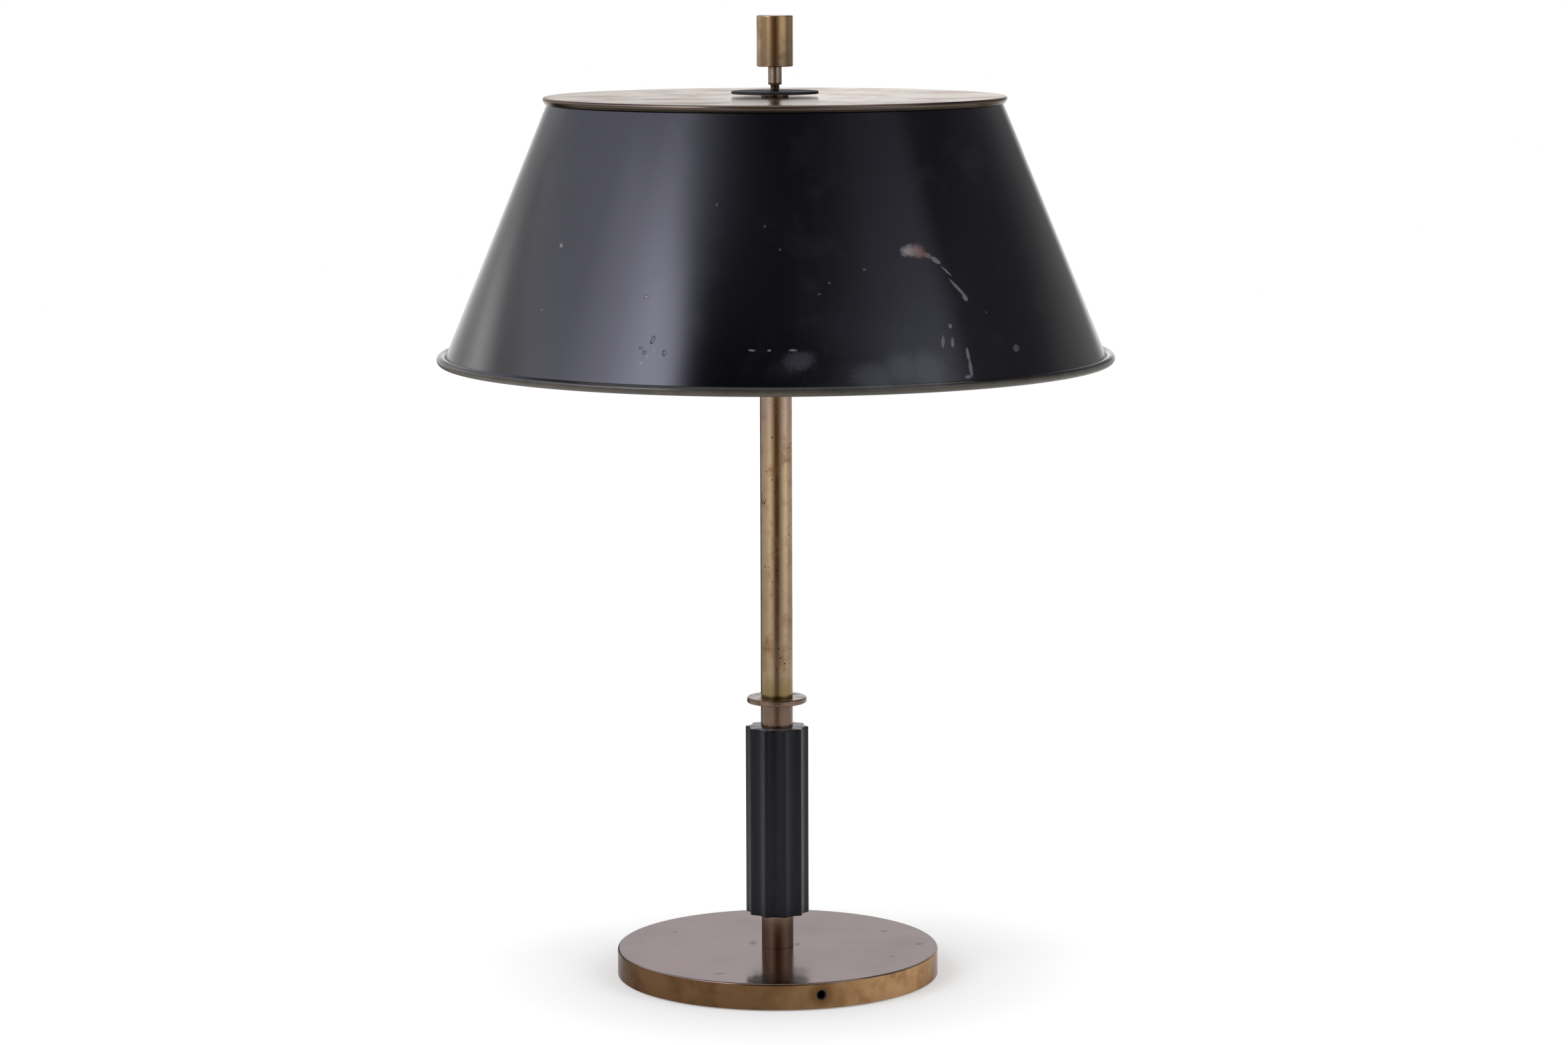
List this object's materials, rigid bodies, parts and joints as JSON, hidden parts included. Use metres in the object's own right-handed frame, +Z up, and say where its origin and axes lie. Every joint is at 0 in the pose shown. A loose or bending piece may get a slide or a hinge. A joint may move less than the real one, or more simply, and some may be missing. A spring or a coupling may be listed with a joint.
{
  "type": "bouillotte lamp",
  "caption": "Brass table lamp: weighted round base, black fluted grip, tube stem and a wide black metal shade with a brass top held by a turned finial.",
  "frame": {"origin": "middle of the base on the table, under the lamp's axis", "axes": "+Z up along the stem, -Y towards the front where the cord inlet is, +X to the right"},
  "size_m": [0.3508, 0.3508, 0.5026],
  "materials": {
    "felt": "thick pressed wool felt, dark green",
    "iron": "rough sand-cast iron",
    "base_brass": "spun brass, polished, with age spots and a brown side",
    "bush": "black insulating bush",
    "steel": "zinc-plated steel",
    "nut_brass": "turned brass, plain",
    "stem_brass": "drawn brass tube, clear lacquer gone, speckled patina",
    "grip_lacquer": "fluted turned beech under black lacquer",
    "collar_brass": "turned brass, worn",
    "head_brass": "spun brass, dull",
    "holder_brass": "pressed brass, dull",
    "porcelain": "white glazed porcelain",
    "lead_cover": "brown rubber insulation",
    "key_resin": "dark brown moulded phenolic resin",
    "bulb_metal": "bright rolled thread cap",
    "bulb_glass": "opal coated glass",
    "rod_brass": "drawn brass rod, dull",
    "shade_lacquer": "black lacquer on steel sheet, fine scratches and chips",
    "top_brass": "polished brass plate, pale",
    "disc_lacquer": "black lacquered disc",
    "fibre": "vulcanised fibre",
    "finial_brass": "turned brass, worn"
  },
  "bodies": {
    "stand": {"felt_pad": "felt", "base_weight": "iron", "base_shell": "base_brass", "cord_bush": "bush", "lock_washer": "steel", "tube_nuts": "nut_brass", "central_tube": "steel", "foot": "stem_brass", "grip": "grip_lacquer", "neck": "stem_brass", "collar": "collar_brass", "stem_tube": "stem_brass", "head_box": "head_brass", "head_lid": "head_brass", "lid_screws": "nut_brass", "junction_block": "porcelain", "nipples": "steel", "nipple_nuts": "nut_brass", "lead_pair_left": "lead_cover", "lead_pair_right": "lead_cover", "holder_cap_left": "holder_brass", "holder_cap_right": "holder_brass", "holder_barrel_left": "holder_brass", "holder_barrel_right": "holder_brass", "porcelain_left": "porcelain", "porcelain_right": "porcelain", "screw_shell_left": "steel", "screw_shell_right": "steel", "contact_left": "nut_brass", "contact_right": "nut_brass", "bulb_cap_left": "bulb_metal", "bulb_cap_right": "bulb_metal", "bulb_glass_left": "bulb_glass", "bulb_glass_right": "bulb_glass", "shade_rod": "rod_brass", "rod_nuts": "nut_brass", "seat_washer": "nut_brass"},
    "shade": {"shade_cone": "shade_lacquer", "rim_wire": "steel", "top_plate": "top_brass", "top_hub": "finial_brass", "top_disc": "disc_lacquer"},
    "finial_ring": {"finial_ring": "fibre"},
    "finial": {"finial": "finial_brass"},
    "key_left": {"switch_key_left": "key_resin", "switch_rotor_left": "key_resin"},
    "key_right": {"switch_key_right": "key_resin", "switch_rotor_right": "key_resin"}
  },
  "joints": [
    {"name": "shade_turn", "type": "hinge", "parent": "stand", "child": "shade", "pos_m": [0, 0, 0.4603], "axis": [0, 0, 1], "continuous": true},
    {"name": "finial_rise", "type": "slide", "parent": "stand", "child": "finial_ring", "axis": [0, 0, 1], "range_m": [-0.003, 0.008]},
    {"name": "finial_turn", "type": "hinge", "parent": "finial_ring", "child": "finial", "pos_m": [0, 0, 0.468], "axis": [0, 0, 1], "range_deg": [-1351, 3601]},
    {"name": "key_left_turn", "type": "hinge", "parent": "stand", "child": "key_left", "pos_m": [-0.04792, 0, 0.36744], "axis": [-0.342, 0, -0.9397], "continuous": true},
    {"name": "key_right_turn", "type": "hinge", "parent": "stand", "child": "key_right", "pos_m": [0.04792, 0, 0.36744], "axis": [0.342, 0, -0.9397], "continuous": true}
  ],
  "couplings": [
    {"joint": "finial_turn", "follows": "finial_rise", "rad_per_m": 7854}
  ]
}
